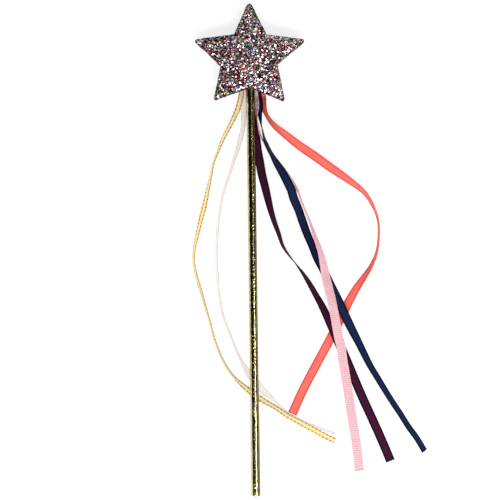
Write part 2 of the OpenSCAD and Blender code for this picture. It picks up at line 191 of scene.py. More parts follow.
# %% [markdown]
# ## Sweeping a ribbon
# A smooth curve runs through the route's points. It is cut into even steps, and at each step a thin cross-section is
# set square to the curve and turned by the roll. Ribbed ribbon has one fine cord of thread after another across its
# width. The steps are short enough to make those ribs as real ridges, with a plain, slightly thicker selvedge along
# both edges. Where a ribbon stands on edge it cups a little, as twisted ribbon does, away from the stick.

# %% Path of a ribbon
NOTCH_Y = 117.25
TAIL_LENGTH, TAIL_OUT = 12.0, 3.0
LAYER_STEP, FIRST_LAYER = 0.5, 0.6
STICK_UNDER, STICK_RISE = 1.5035, 0.0074061
SPAN_STEPS, RIBBON_COLUMNS = 12, 14
CUP_DEPTH = 0.5
SELVEDGE, SELVEDGE_FADE = 0.46, 0.03


def under_foil(y):
    """Height of the foil's underside above the table, at a place along the stick."""
    return STICK_UNDER + STICK_RISE * y


def ribbon_points(side, layer, thick, route):
    """Glued tail and free route of one ribbon, with the drops turned into places along the wand."""
    tail = [
        (side, y, under_foil(y) - LAYER_STEP * (layer + FIRST_LAYER) - thick / 2, 0.0)
        for y in (NOTCH_Y + TAIL_LENGTH, NOTCH_Y + TAIL_LENGTH / 2, NOTCH_Y - TAIL_OUT)
    ]
    return np.array(tail + [(x, NOTCH_Y - drop, lift, roll) for x, drop, lift, roll in route], dtype=float)


def smooth_route(points):
    """Smooth curve through the points of a route."""
    last = len(points) - 1
    curve = []
    for i in range(last):
        a, b, c, d = (points[min(max(i + k, 0), last)] for k in (-1, 0, 1, 2))
        for u in np.arange(SPAN_STEPS) / SPAN_STEPS:
            curve.append(
                0.5 * (2 * b + (c - a) * u + (2 * a - 5 * b + 4 * c - d) * u**2 + (3 * b - a - 3 * c + d) * u**3)
            )
    return np.array(curve + [points[last]])


# %% Ribbon sweep
def sweep_ribbon(name, points, width, thick, step, rib_pitch, rib_share):
    """A closed flat strip along its route. Returns the piece, its middle line and its length in metres."""
    curve = smooth_route(points)
    roll = np.radians(curve[:, 3])
    middle = np.column_stack([curve[:, :2], curve[:, 2] + thick / 2 + width / 2 * np.abs(np.sin(roll))])
    heading = np.gradient(curve[:, :2], axis=0)
    run = np.concatenate([[0.0], np.cumsum(np.linalg.norm(np.diff(middle, axis=0), axis=1))])
    at = np.linspace(0.0, run[-1], int(run[-1] / step) + 1)
    middle = np.column_stack([np.interp(at, run, middle[:, k]) for k in range(3)])
    heading = np.column_stack([np.interp(at, run, heading[:, k]) for k in range(2)])
    roll = np.interp(at, run, roll)[:, None]
    heading /= np.linalg.norm(heading, axis=1)[:, None]
    side = np.column_stack([-heading[:, 1], heading[:, 0], np.zeros(len(at))])
    up = np.array([[0.0, 0.0, 1.0]])
    across = side * np.cos(roll) + up * np.sin(roll)
    face = up * np.cos(roll) - side * np.sin(roll)
    place = np.linspace(0.0, 1.0, RIBBON_COLUMNS + 1)
    body = np.clip((SELVEDGE - np.abs(place - 0.5)) / SELVEDGE_FADE, 0.0, 1.0)
    ridge = 0.5 - 0.5 * np.cos(2 * np.pi * at / rib_pitch)
    half = (thick / 2 * (1.0 - rib_share * body[None, :] * ridge[:, None]))[:, :, None]
    bow = (CUP_DEPTH * np.sin(roll) ** 4 * (1.0 - (2.0 * place[None, :] - 1.0) ** 2))[:, :, None]
    face = face[:, None]
    centre = middle[:, None] + across[:, None] * ((place - 0.5) * width)[None, :, None] - face * bow
    rings = np.concatenate([centre - face * half, (centre + face * half)[:, ::-1]], axis=1)
    around = rings.shape[1]
    ends = [list(range(around)), list(range((len(at) - 1) * around, len(at) * around))]
    cloth_map = np.empty((len(at), around, 2))
    cloth_map[:, :, 0] = (at * MM)[:, None]
    cloth_map[:, :, 1] = np.concatenate([place, place[::-1]])[None, :]
    piece = make_piece(
        name, rings.reshape(-1, 3), ring_faces(len(at), around) + ends, cloth_map=cloth_map.reshape(-1, 2)
    )
    return piece, middle * MM, run[-1] * MM


# %% Make the six ribbons
WOVEN, SHEER = 0.25, 0.2
RIBBONS = {
    # piece: CAD node, finish slot, side and layer of its tail, route, width, thickness, step, rib pitch, rib depth
    "coral_weave": ("coral_ribbon", "coral_satin", 7.7, 2, CORAL_ROUTE, 6.5, WOVEN, 0.32, 1.6, 0.15),
    "navy_weave": ("navy_ribbon", "navy_grosgrain", 4.8, 1, NAVY_ROUTE, 6.5, WOVEN, 0.27, 1.6, 0.5),
    "pink_weave": ("pink_ribbon", "pink_grosgrain", 2.0, 0, PINK_ROUTE, 6.5, WOVEN, 0.27, 1.6, 0.5),
    "plum_weave": ("plum_ribbon", "plum_grosgrain", -0.2, 2, PLUM_ROUTE, 6.5, WOVEN, 0.27, 1.6, 0.5),
    "cream_sheer": ("cream_organza_ribbon", "cream_organza", -4.7, 0, CREAM_ROUTE, 5.0, SHEER, 0.5, 2.0, 0.0),
    "gold_sheer": ("gold_organza_ribbon", "gold_organza", -6.5, 1, GOLD_ROUTE, 4.0, SHEER, 0.5, 2.0, 0.0),
}
ribbon, ribbon_length = {}, {}
for name, (node, finish, side, layer, route, width, thick, step, pitch, share) in RIBBONS.items():
    points = ribbon_points(side, layer, thick, route)
    piece, middle, length = sweep_ribbon(name, points, width, thick, step, pitch, share)
    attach(piece, "root")
    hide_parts(node)
    ribbon[name], ribbon_length[name] = piece, length
    print(name, "length in mm:", round(length / MM, 1), "faces:", len(piece.data.polygons))

# %% [markdown]
# ## Finishes from nodes
# A finish is a small tree of nodes that ends in one shader. These helpers add a node, set its values and join its
# inputs in one line, so that each finish below reads as a list of what it is made of.

# %% Node helper
def fill(node, inputs):
    """Sets a node's inputs to values, or joins them to other nodes' outputs."""
    for key, value in inputs.items():
        if isinstance(value, bpy.types.NodeSocket):
            node.id_data.links.new(value, node.inputs[key])
        else:
            node.inputs[key].default_value = value


def add_node(tree, kind, inputs=None, **settings):
    """One node of a tree, with its settings made and its inputs filled."""
    node = tree.nodes.new(kind)
    for key, value in settings.items():
        setattr(node, key, value)
    fill(node, inputs or {})
    return node


def follow(kind, inputs, out=0, **settings):
    """An output of a new node, which goes into the tree of the outputs that it is joined to."""
    tree = next(value.id_data for value in inputs.values() if isinstance(value, bpy.types.NodeSocket))
    return add_node(tree, kind, inputs, **settings).outputs[out]


def start_finish(name):
    """A new finish: its material, its node tree and its shader."""
    material = bpy.data.materials.new(name)
    material.use_nodes = True
    return material, material.node_tree, material.node_tree.nodes["Principled BSDF"]


# %% Sums, noise and colours
# Nearly all of a soft noise lies in the wide span, and most of it in the narrow one
WIDE_SPAN, NARROW_SPAN = (0.3, 0.7), (0.35, 0.65)


def maths(operation, first, second=0.0, third=0.0):
    """The result of one sum."""
    return follow("ShaderNodeMath", {0: first, 1: second, 2: third}, operation=operation)


def wave(operation, value, pitch):
    """A sine or cosine that repeats at a pitch."""
    return maths(operation, maths("MULTIPLY", value, 2 * math.pi / pitch))


def fade(value, low, high, start=0.0, end=1.0):
    """A value that goes smoothly from start to end while its input goes from low to high."""
    inputs = {"Value": value, "From Min": low, "From Max": high, "To Min": start, "To Max": end}
    return follow("ShaderNodeMapRange", inputs, "Result", interpolation_type="SMOOTHSTEP")


def mix_colour(share, first, second):
    """Two colours mixed by a share."""
    return follow("ShaderNodeMix", {0: share, 6: first, 7: second}, 2, data_type="RGBA")


def clouds(place, scale, detail):
    """Soft noise at one scale, or drawn out by three."""
    if isinstance(scale, tuple):
        place, scale = follow("ShaderNodeVectorMath", {0: place, 1: scale}, operation="MULTIPLY"), 1.0
    return follow("ShaderNodeTexNoise", {"Vector": place, "Scale": scale, "Detail": detail}, "Fac")


def cells(place, scale):
    """Distance from the middle of the nearest of many small cells."""
    return follow("ShaderNodeTexVoronoi", {"Vector": place, "Scale": scale}, "Distance")


def bumped(height, strength, distance):
    """The direction that a surface faces, roughened by a height."""
    return follow("ShaderNodeBump", {"Height": height, "Strength": strength, "Distance": distance}, "Normal")


def own_place(tree):
    """Places in the piece's own coordinates."""
    return add_node(tree, "ShaderNodeTexCoord").outputs["Object"]


def stored(tree, name):
    """A value that was stored on the piece's mesh."""
    return add_node(tree, "ShaderNodeAttribute", attribute_name=name).outputs["Fac"]


def cloth_place(tree):
    """A ribbon's cloth map, its ways along and across, and how far a point is from the middle line."""
    cloth = add_node(tree, "ShaderNodeUVMap", uv_map="cloth_map").outputs["UV"]
    along, across, _ = add_node(tree, "ShaderNodeSeparateXYZ", {"Vector": cloth}).outputs
    return cloth, along, across, maths("ABSOLUTE", maths("SUBTRACT", across, 0.5))


def colour(red, green, blue):
    """A colour as read off a screen, turned into the light values that shaders use."""
    return tuple(
        c / 12.92 if c <= 0.04045 else ((c + 0.055) / 1.055) ** 2.4 for c in (red / 255, green / 255, blue / 255)
    ) + (1.0,)


def dimmed(tint, share):
    """A colour with only a share of its light."""
    return tuple(c * share for c in tint[:3]) + (1.0,)


# %% [markdown]
# ## Woven ribbon
# The coral ribbon is a smooth weave and the navy, pink and plum ones are ribbed. Thread shows as fine lines both ways,
# the colour varies a little from thread to thread, and the selvedges are denser and darker. The grooves between the
# ribs are painted darker, as painted shade. The pattern follows the cloth map that the sweep stored, along the ribbon
# and across it, so that it bends and twists with the cloth. Light goes some way into the coral and pink ribbons. So
# they scatter a share of it below the surface, and their shaded folds stay bright.

# %% Woven finish
THREAD_PITCH = 0.35
THREADS, PATCHES = (2600.0, 26.0, 1.0), (60.0, 1.2, 1.0)
DENSE_EDGE = (0.315, 0.355)
SEAL_START, SEAL_FULL = 0.0007, 0.0003


def woven_finish(name, body, edge, seal, width, length, rib_pitch, groove_shade, rough, through):
    """Ribbed or plain woven ribbon with denser edges and a sealed cut end."""
    material, tree, shader = start_finish(name)
    cloth, along, across, from_middle = cloth_place(tree)
    ridge = maths("MULTIPLY_ADD", wave("COSINE", along, rib_pitch * MM), 0.5, 0.5)
    thread, patch = clouds(cloth, THREADS, 1.0), clouds(cloth, PATCHES, 2.0)
    # painted shade: the colour is darker in the grooves between the ribs
    ribbed = mix_colour(ridge, dimmed(body, groove_shade), body)
    edged = mix_colour(fade(from_middle, *DENSE_EDGE), ribbed, edge)
    sealed = mix_colour(fade(along, length - SEAL_START, length - SEAL_FULL), edged, seal)
    thread_tone = fade(thread, *WIDE_SPAN, 0.93, 1.05)
    tone = maths("ADD", thread_tone, fade(patch, *WIDE_SPAN, -0.04, 0.04))
    warp = wave("SINE", across, THREAD_PITCH / width)
    height = maths("MULTIPLY_ADD", warp, 0.3, maths("ADD", ridge, thread))
    fill(shader, {
        "Base Color": follow("ShaderNodeVectorMath", {0: sealed, "Scale": tone}, operation="SCALE"),
        "Roughness": fade(thread, *WIDE_SPAN, rough - 0.06, rough + 0.06),
        "Normal": bumped(height, 0.5, 0.00008),
        "Specular IOR Level": 0.08,
        "Subsurface Weight": through, "Subsurface Radius": (0.6, 0.6, 0.6), "Subsurface Scale": 0.0005,
    })
    return material


WOVEN_FINISHES = {
    # piece: body, edge and cut-end colours, painted shade in the grooves, roughness, share of light that goes in
    "coral_weave": (colour(253, 122, 110), colour(255, 70, 56), colour(230, 70, 60), 0.86, 0.7, 0.6),
    "navy_weave": (colour(28, 42, 82), colour(5, 6, 16), colour(8, 10, 20), 0.38, 0.75, 0.0),
    "pink_weave": (colour(238, 194, 202), colour(232, 176, 186), colour(150, 104, 114), 0.70, 0.75, 0.35),
    "plum_weave": (colour(71, 20, 53), colour(20, 3, 13), colour(20, 4, 14), 0.38, 0.75, 0.0),
}
for name, (body, edge, seal, groove_shade, rough, through) in WOVEN_FINISHES.items():
    width, pitch = RIBBONS[name][5], RIBBONS[name][8]
    ribbon[name].data.materials.append(
        woven_finish(RIBBONS[name][1], body, edge, seal, width, ribbon_length[name], pitch, groove_shade, rough, through)
    )
print("woven finishes:", len(WOVEN_FINISHES))

# %% [markdown]
# ## Sheer ribbon
# The cream ribbon is a fine open weave of stiff, clear thread, so the table shows through it, and less so where it is
# seen on edge. The other sheer ribbon has a clear middle between two edges of flat metal thread, which show as rows of
# gold dashes. Glass would bend what lies behind it, and gaps between threads do not. So both ribbons let light straight
# through, as much as a pattern of threads on the cloth map says.

# %% Cream finish
SHEER_PITCH = 0.4
CLOUDING = (150.0, 1.5, 1.0)
cream_material, tree, shader = start_finish("cream_organza")
cloth, along, across, from_middle = cloth_place(tree)
selvedge = fade(from_middle, 0.40, 0.46)
weft = wave("SINE", along, SHEER_PITCH * MM)
threads = maths("MAXIMUM", weft, wave("SINE", across, SHEER_PITCH / RIBBONS["cream_sheer"][5]))
cloudy = clouds(cloth, CLOUDING, 2.0)
cream_tone = mix_colour(cloudy, colour(222, 196, 177), colour(232, 212, 197))
fill(shader, {
    "Base Color": mix_colour(selvedge, cream_tone, colour(212, 183, 164)),
    "Alpha": maths("MULTIPLY_ADD", threads, 0.06, maths("MULTIPLY_ADD", selvedge, 0.3, 0.21)),
    "Roughness": fade(cloudy, *WIDE_SPAN, 0.35, 0.5),
    "Normal": bumped(threads, 0.4, 0.00005),
    "Specular IOR Level": 0.3,
})
ribbon["cream_sheer"].data.materials.append(cream_material)
print("cream finish nodes:", len(tree.nodes))

# %% Gold-edged finish
DASHES = (520.0, 5.0, 1.0)
DASH_PITCH, DASH_SHIFT = 0.0029, 2.4
gold_material, tree, shader = start_finish("gold_organza")
cloth, along, across, from_middle = cloth_place(tree)
metal_edge = fade(from_middle, 0.22, 0.26)
dash = clouds(cloth, DASHES, 1.5)
other_edge = maths("MULTIPLY", maths("GREATER_THAN", across, 0.5), DASH_SHIFT)
dash_wave = maths("SINE", maths("MULTIPLY_ADD", along, 2 * math.pi / DASH_PITCH, other_edge))
dash_share = fade(maths("MULTIPLY_ADD", dash, 3.0, dash_wave), 0.7, 1.3)
metal_tone = mix_colour(dash_share, colour(138, 94, 4), colour(243, 199, 58))
middle_alpha = maths("MULTIPLY_ADD", wave("SINE", along, SHEER_PITCH * MM), 0.08, 0.33)
fill(shader, {
    "Base Color": mix_colour(metal_edge, colour(244, 220, 128), metal_tone),
    "Metallic": maths("MULTIPLY", metal_edge, 0.08),
    "Alpha": maths("ADD", middle_alpha, maths("MULTIPLY", metal_edge, 0.57)),
    "Roughness": fade(dash, *WIDE_SPAN, 0.45, 0.28),
    "Normal": bumped(dash, 0.6, 0.0001),
})
ribbon["gold_sheer"].data.materials.append(gold_material)
print("gold-edged finish nodes:", len(tree.nodes))

# %% [markdown]
# ## Foil on the stick
# Gold foil is wound round the stick by hand. It wrinkles across the stick every few millimetres, one edge laps over
# the other along the right side, and a second layer is wound over the hand end, pinched once and folded in. A smooth
# tube with a bump map would keep a ruler-straight highlight. So the skin is a fine grid whose radius really goes in at
# each wrinkle, and the highlight breaks as it does on foil.

# %% Wrinkled foil
STICK_SLOPE = math.asin(STICK_RISE)
STICK_LIFT = 4.5034
HAND_END, STICK_TOP = -177.0, 145.25
FOIL_STEP, FOIL_AROUND = 0.25, 56
LAP_ANGLE, LAP_REACH = math.radians(52), 1.2
# where the painted dark reflection lies past the lap, and how wide it is: brown painted into the foil for the dark
# surroundings it mirrors
DARK_REFLECTION_OFFSET, DARK_REFLECTION_WIDTH = 0.25, 0.42
around_angle = np.linspace(0.0, 2 * np.pi, FOIL_AROUND, endpoint=False)


def lay_down(points):
    """From the stick's own line to the wand as it lies, sloping a little."""
    x, y, z = np.asarray(points, dtype=float).T
    turn_cos, turn_sin = math.cos(STICK_SLOPE), math.sin(STICK_SLOPE)
    return np.column_stack([x, y * turn_cos - z * turn_sin, y * turn_sin + z * turn_cos + STICK_LIFT])


def wrapped(angle):
    """An angle brought to the half turn either side of zero."""
    return (angle + np.pi) % (2 * np.pi) - np.pi


def bell(distance, width):
    """1 where the distance is nothing, and smoothly less around it."""
    return np.exp(-((distance / width) ** 2))


def wrinkle_depth(angle, along, seed, spacing, deepest, crumple):
    """How far the foil goes in at each point, from many short creases, a slow waviness and a fine crumple."""
    draw = np.random.default_rng(seed)
    depth = np.zeros_like(along)
    for middle in np.arange(along.min(), along.max(), spacing):
        middle += draw.uniform(-0.5, 0.5) * spacing
        centre, reach = draw.uniform(-np.pi, np.pi), draw.uniform(0.5, 1.8)
        skew, half = draw.normal(0.0, 0.9), draw.uniform(0.18, 0.45)
        deep = deepest * draw.uniform(0.25, 1.0)
        off = wrapped(angle - centre)
        strength = np.clip(1.0 - (off / reach) ** 2, 0.0, 1.0)
        depth += deep * strength * bell(along - middle - skew * off, half)
    rough = np.zeros_like(along)
    # height of each roughness, and how often it changes round the stick and along it
    for height, turn, run in ((0.03, 1.3, 0.16), (crumple, 2.8, 0.9), (0.4 * crumple, 5.5, 1.9)):
        rough += height * np.array([
            noise.noise(Vector((math.sin(a) * turn, math.cos(a) * turn, y * run + seed))) for a, y in zip(angle, along)
        ])
    return depth + rough


# %% Foil skin
def lap_step(angle, height):
    """Extra radius where the foil's outer edge lies on the turn below."""
    past = wrapped(angle - LAP_ANGLE)
    return height * np.where(past < 0.0, np.clip(1.0 + past / LAP_REACH, 0.0, 1.0), 0.0)


def foil_grid(low, high):
    """Angles round the stick, measured from the top to the right, and places along it."""
    places = np.linspace(low, high, int((high - low) / FOIL_STEP) + 1)
    angle, along = np.meshgrid(around_angle, places)
    return angle.ravel(), along.ravel(), len(places)


def round_points(angle, along, radius):
    """Points round the stick's own line."""
    return np.column_stack([radius * np.sin(angle), along, radius * np.cos(angle)])


def ring_points(y, radius):
    """One plain ring of points round the stick's own line."""
    return round_points(around_angle, np.full(FOIL_AROUND, y), radius)


def foil_skin(name, points, faces):
    """A foil skin on the stick as it lies. It also stores how near each point is to the painted dark reflection beside
    the lap.
    """
    angle = np.arctan2(points[:, 0], points[:, 2])
    # painted reflection: how strongly the foil is painted brown here, for the dark surroundings it mirrors beside the
    # lap
    dark_reflection = bell(wrapped(angle - LAP_ANGLE - DARK_REFLECTION_OFFSET), DARK_REFLECTION_WIDTH)
    return make_piece(name, lay_down(points), faces, values={"dark_reflection": dark_reflection})


# %% Foil sleeve
SLEEVE_RADIUS, SLEEVE_PROUD, SLEEVE_LAP = 3.0, 0.04, 0.06
WOOD_RADIUS = 2.9
LEAST_FOIL = 0.02
SLEEVE_LOW = HAND_END + 1.0
CREASE_Y, CREASE_SKEW, CREASE_REACH = 51.0, 1.6, 1.5
CREASE_DEPTH, CREASE_WIDTH = 0.08, 0.35
angle, along, rings = foil_grid(SLEEVE_LOW, STICK_TOP)
depth = wrinkle_depth(angle, along, seed=11, spacing=2.2, deepest=0.06, crumple=0.085)
crease = wrapped(angle) * CREASE_SKEW - (along - CREASE_Y)
depth += CREASE_DEPTH * bell(crease, CREASE_WIDTH) * (np.abs(wrapped(angle)) < CREASE_REACH)
radius = np.maximum(SLEEVE_RADIUS + SLEEVE_PROUD + lap_step(angle, SLEEVE_LAP) - depth, WOOD_RADIUS + LEAST_FOIL)
points = np.concatenate([
    round_points(angle, along, radius), ring_points(STICK_TOP, WOOD_RADIUS), ring_points(SLEEVE_LOW, WOOD_RADIUS),
])
sleeve_skin = foil_skin("sleeve_skin", points, ring_faces(rings + 2, FOIL_AROUND, closed=True))
print("sleeve points:", len(points))

# %% Foil at the hand end
GRIP_RADIUS, GRIP_PROUD, GRIP_LAP = 3.2, 0.02, 0.05
GRIP_LENGTH = 59.0
END_ROUND, END_RINGS = 1.0, 7
PINCH_Y, PINCH_SKEW, PINCH_DEPTH, PINCH_WIDTH = -171.0, 0.5, 0.1, 0.45
LIP_INSET, LIP_HEIGHT, LIP_WIDTH = 0.4, 0.06, 0.5
FOLD_RINGS = (0.12, 0.4, 0.7)
FOLD_GAP, FOLD_HEIGHT = 0.04, 0.05
INSIDE_END, INSIDE_RADIUS = 0.22, 2.2
angle, along, rings = foil_grid(HAND_END + END_ROUND, HAND_END + GRIP_LENGTH)
depth = wrinkle_depth(angle, along, seed=23, spacing=2.4, deepest=0.025, crumple=0.05)
depth += PINCH_DEPTH * bell(along - PINCH_Y - PINCH_SKEW * np.sin(angle), PINCH_WIDTH)
depth -= LIP_HEIGHT * bell(along - HAND_END - GRIP_LENGTH + LIP_INSET, LIP_WIDTH)
radius = np.maximum(GRIP_RADIUS + GRIP_PROUD + lap_step(angle, GRIP_LAP) - depth, SLEEVE_RADIUS + LEAST_FOIL)
rim_radius = radius[:FOIL_AROUND]
layers = []
for share in FOLD_RINGS:
    fold = FOLD_HEIGHT * (1 + np.sin(around_angle * 7 + 2 * share)) / 2
    layers.append(round_points(around_angle, HAND_END + FOLD_GAP + fold, (rim_radius - END_ROUND) * share))
for k in range(END_RINGS, 0, -1):
    turn = 0.5 * np.pi * k / END_RINGS
    pleat = np.maximum(FOLD_HEIGHT * np.sin(around_angle * 9 + 1.3 * k) * math.sin(turn), 0.0)
    ring_radius = rim_radius - END_ROUND * (1.0 - math.cos(turn))
    layers.append(round_points(around_angle, HAND_END + END_ROUND * (1.0 - math.sin(turn)) + pleat, ring_radius))
layers += [
    round_points(angle, along, radius), ring_points(HAND_END + GRIP_LENGTH, SLEEVE_RADIUS),
    ring_points(HAND_END + END_ROUND, SLEEVE_RADIUS), ring_points(HAND_END + INSIDE_END, INSIDE_RADIUS),
]
points = np.concatenate(layers)
caps = [list(range(FOIL_AROUND)), list(range(len(points) - FOIL_AROUND, len(points)))]
grip_skin = foil_skin("grip_skin", points, ring_faces(len(points) // FOIL_AROUND, FOIL_AROUND) + caps)
print("grip points:", len(points))

# %% [markdown]
# ## Gold foil finish
# The foil is a thin metal film: pale gold where it faces a light and deeper gold at a glancing angle. Beside the lap
# its colour is painted deep brown, a painted reflection of the dark surroundings that it mirrors there. Its shine comes
# from a full metal shader with a low roughness that varies in patches and a tint for glancing angles. A fine bump
# stands for creases too small for the mesh.

# %% Foil finish
def foil_finish(name, rough, crease):
    """Wrinkled gold foil with a painted dark reflection in brown along its lap."""
    material, tree, shader = start_finish(name)
    place = own_place(tree)
    blotch, fine = clouds(place, 260.0, 3.0), clouds(place, 1150.0, 2.0)
    dark_reflection = stored(tree, "dark_reflection")
    gold = mix_colour(fade(blotch, *NARROW_SPAN), colour(212, 198, 138), colour(224, 216, 168))
    # painted reflection: this brown stands for the dark surroundings that the foil mirrors along its right side
    reflection_brown = mix_colour(fade(fine, *NARROW_SPAN), colour(54, 28, 2), colour(108, 72, 10))
    fill(shader, {
        "Base Color": mix_colour(maths("MULTIPLY", dark_reflection, 0.95), gold, reflection_brown),
        "Roughness": fade(blotch, *WIDE_SPAN, rough - 0.05, rough + 0.07),
        "Normal": bumped(fine, crease, 0.00012),
        "Metallic": 1.0, "Specular Tint": colour(196, 170, 96),
    })
    return material


FOILS = (
    # piece, CAD node, finish slot, roughness, strength of the fine creases
    (sleeve_skin, "foil_sleeve", "gold_foil", 0.1, 1.0), (grip_skin, "foil_grip", "gold_foil_grip", 0.12, 0.5),
)
for piece, node, finish, rough, crease in FOILS:
    piece.data.materials.append(foil_finish(finish, rough, crease))
    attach(piece, "root")
    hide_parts(node)
print("foil finishes:", len(FOILS))

# %% [markdown]
# ## The star's outline
# The star is cut by hand, so no two points are alike. The outline has the model's ten corners with rounded points.
# Each edge is divided finely and moved in and out a little, as hand-cut cloth is. The same moves are used for the
# front, the back and the band, so that they meet along the seams.

# %% Star outline
STAR_Y = 138.25
STAR_CORNERS = np.array([
    (0, 41.5), (-11, 17), (-40.5, 13.5), (-21, -5.5), (-26.5, -30),
    (0, -21), (24.5, -31.5), (19.5, -4.5), (40.7, 12.5), (12, 16.5),
])
CORNER_COUNT = len(STAR_CORNERS)
TOP_ROUND, POINT_ROUND, LEAST_ROUND = 2.0, 1.2, 0.1
TIP_STEPS = 8
EDGE_STEP = 0.9
EDGE_INSET = 0.2
# reach of each unevenness in the edge, how often it changes, and a number that sets it apart
EDGE_WOBBLES = ((0.3, 0.32, 3.1), (0.16, 1.1, 7.7))


def edge_out(i):
    """Outward direction of the edge after a corner."""
    step = STAR_CORNERS[(i + 1) % CORNER_COUNT] - STAR_CORNERS[i % CORNER_COUNT]
    return np.array([step[1], -step[0]]) / np.linalg.norm(step)


def star_outline(grow):
    """Corner points of the outline, moved outwards by grow along every edge."""
    outline = []
    for i in range(CORNER_COUNT):
        before, after = edge_out(i - 1), edge_out(i)
        shift = (before + after) / (1.0 + before @ after)
        corner = STAR_CORNERS[i] + grow * shift
        if i % 2:
            outline.append(corner)
            continue
        rounding = max(grow + (TOP_ROUND if i == 0 else POINT_ROUND), LEAST_ROUND)
        start, turn = math.atan2(before[1], before[0]), math.acos(before @ after)
        for b in start + turn * np.linspace(0.0, 1.0, TIP_STEPS + 1):
            outline.append(corner - rounding * shift + rounding * np.array([math.cos(b), math.sin(b)]))
    return np.array(outline)


edge_lengths = np.linalg.norm(np.roll(star_outline(0.0), -1, axis=0) - star_outline(0.0), axis=1)
edge_parts = np.maximum(np.round(edge_lengths / EDGE_STEP).astype(int), 1)


def fine_outline(grow):
    """The outline in short steps, the same number for every grow."""
    corners = star_outline(grow)
    ends = np.roll(corners, -1, axis=0)
    return np.concatenate([
        a + (b - a) * np.arange(parts)[:, None] / parts for a, b, parts in zip(corners, ends, edge_parts)
    ])


outer_edge = fine_outline(-EDGE_INSET)
step = np.roll(outer_edge, -1, axis=0) - np.roll(outer_edge, 1, axis=0)
edge_normal = np.column_stack([step[:, 1], -step[:, 0]]) / np.linalg.norm(step, axis=1)[:, None]
edge_wobble = np.array([
    sum(reach * noise.noise(Vector((x * often, y * often, salt))) for reach, often, salt in EDGE_WOBBLES)
    for x, y in outer_edge
])
outer_edge = outer_edge + edge_normal * edge_wobble[:, None]
EDGE_COUNT = len(outer_edge)
print("points round the star:", EDGE_COUNT)

# %% [markdown]
# ## Glitter cloth
# The front is one piece of cloth pulled over a padded core: highest in the middle, rolled down along its edge, and a
# little lumpy. The back is flat and a band closes the side. The back cloth lies a little further in than the model's
# back, which leaves room for its glitter above the table. A cloth simulation could inflate the star, but the crown is
# only 2 mm high and the outline has to stay exact, so the swell is written as a formula instead.

# %% Shapes of the star's cloth
STAR_HALF, CORE_HALF = 5.3, 4.5
CLOTH = 0.7
BACK_INSET, BACK_ROLL = 0.3, 0.35
DOME_RADIUS, CROWN = 376.4, 2.0
DOME_MIDDLE = STAR_HALF + CROWN - DOME_RADIUS
ROLL_WIDTH, ROLL_DROP = 3.2, 0.6
LUMP_HEIGHT, LUMP_SIZE, LUMP_SALT = 0.16, 7.0, 1.5
# shares of the way from the star's middle to its edge
SHARES = np.concatenate([np.linspace(0.04, 0.88, 22), [0.91, 0.94, 0.965, 0.985, 1.0]])


def edge_distance(points):
    """Shortest way from points on the star to its edge."""
    a, b = outer_edge[None], np.roll(outer_edge, -1, axis=0)[None]
    p = points[:, None]
    t = np.clip(((p - a) * (b - a)).sum(-1) / ((b - a) ** 2).sum(-1), 0.0, 1.0)
    return np.linalg.norm(p - a - (b - a) * t[..., None], axis=-1).min(axis=1)


def dome_height(points):
    """Height of the crowned front above the stick's line."""
    return DOME_MIDDLE + np.sqrt(DOME_RADIUS**2 - (points**2).sum(-1))


def star_cloth(name, heights, inner_heights):
    """A closed star-shaped cloth and its outer face as a carrier for glitter."""
    outer, inner = (
        lay_down(np.column_stack([flat + (0.0, STAR_Y), height])) for height in (heights, inner_heights)
    )
    count = len(flat)
    face = fan_faces(EDGE_COUNT) + (np.array(ring_faces(len(SHARES), EDGE_COUNT)) + 1).tolist()
    inner_face = [[v + count for v in f] for f in face]
    rim = np.arange(EDGE_COUNT) + count - EDGE_COUNT
    piece = make_piece(name, np.concatenate([outer, inner]), face + inner_face + join_rings(rim, rim + count))
    carrier = make_piece(name + "_carrier", outer[:count - EDGE_COUNT], face[:-EDGE_COUNT])
    return piece, carrier


flat = np.concatenate([np.zeros((1, 2))] + [outer_edge * share for share in SHARES])
rolled = np.clip(1.0 - edge_distance(flat) / ROLL_WIDTH, 0.0, 1.0) ** 2
lumps = np.array([noise.noise(Vector((x / LUMP_SIZE, y / LUMP_SIZE, LUMP_SALT))) for x, y in flat])
front_height = dome_height(flat) - ROLL_DROP * rolled + LUMP_HEIGHT * lumps * (1.0 - rolled)
front_cloth, front_carrier = star_cloth("front_cloth", front_height, front_height - CLOTH)
back_height = -STAR_HALF + BACK_INSET + BACK_ROLL * rolled
back_cloth, back_carrier = star_cloth("back_cloth", back_height, back_height + CLOTH - BACK_INSET)
print("front and back points:", len(front_cloth.data.vertices), len(back_cloth.data.vertices))

# %% Band round the star's side
BAND_ROWS = 11
BAND_GAP, BAND_ROLL = 0.2, 0.9
OUTER_SWELL, INNER_SWELL = 0.2, 0.1
POCKET_LEFT, POCKET_RIGHT = -9.5, 11.95
STICK_HOLE = 3.1
NOTCH_SIDE = -10.0


def band_foot(points):
    """Lower edge of the band, which is cut out over the stick and the ribbon tails at the notch."""
    foot = np.full(len(points), -CORE_HALF)
    near_notch = points[:, 1] < NOTCH_SIDE
    foot[near_notch & (points[:, 0] > POCKET_LEFT) & (points[:, 0] < POCKET_RIGHT)] = -SLEEVE_RADIUS
    over_stick = near_notch & (np.abs(points[:, 0]) < STICK_HOLE)
    foot[over_stick] = np.sqrt(STICK_HOLE**2 - points[over_stick, 0] ** 2)
    return foot


inner_edge = fine_outline(-EDGE_INSET - CLOTH) + edge_normal * edge_wobble[:, None]
foot, top = band_foot(outer_edge), dome_height(outer_edge) - CLOTH - BAND_GAP - ROLL_DROP * BAND_ROLL


def band_side(edge, swell):
    """One face of the band in rows from its foot to its top, swelling a little in between."""
    return np.concatenate([
        lay_down(np.column_stack([
            edge + edge_normal * swell * math.sin(math.pi * share) + (0.0, STAR_Y), foot + (top - foot) * share,
        ]))
        for share in np.linspace(0.0, 1.0, BAND_ROWS)
    ])


